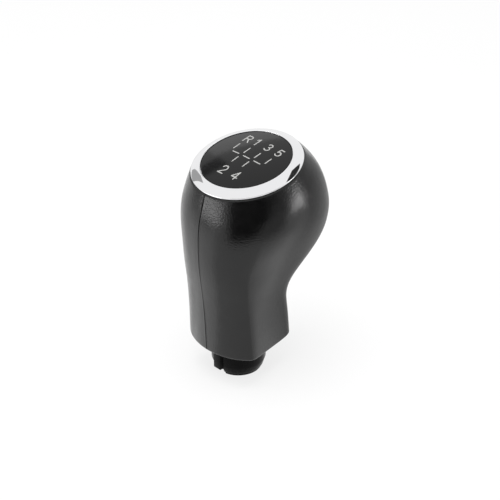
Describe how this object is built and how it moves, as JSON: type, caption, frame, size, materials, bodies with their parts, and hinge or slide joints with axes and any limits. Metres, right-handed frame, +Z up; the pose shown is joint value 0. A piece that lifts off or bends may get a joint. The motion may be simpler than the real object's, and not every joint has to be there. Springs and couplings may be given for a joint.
{
  "type": "gear shift knob",
  "caption": "Gear shift knob with a leather-look grip, a chrome ring round a gloss shift plate and a moulded sleeve underneath that takes the gear lever.",
  "frame": {"origin": "on the lever's axis, in the plane of the grip's foot", "axes": "+Z up the lever, +Y to the front of the car, +X to the driver's right; the middle plane is X = 0"},
  "size_m": [0.0488, 0.0576, 0.0904],
  "materials": {
    "leather": "satin black leather-look skin with a fine grain",
    "core_plastic": "moulded black plastic",
    "sleeve_plastic": "moulded black plastic, satin",
    "spring_steel": "bare spring steel",
    "chrome": "polished chrome plating",
    "gloss_black": "gloss black plastic with light grey printed marks"
  },
  "bodies": {
    "root": {"grip_cover": "leather", "grip_core": "core_plastic", "lever_sleeve": "sleeve_plastic", "lever_spring": "spring_steel", "sleeve_circlip": "spring_steel", "trim_ring": "chrome", "shift_plate": "gloss_black"}
  },
  "joints": []
}
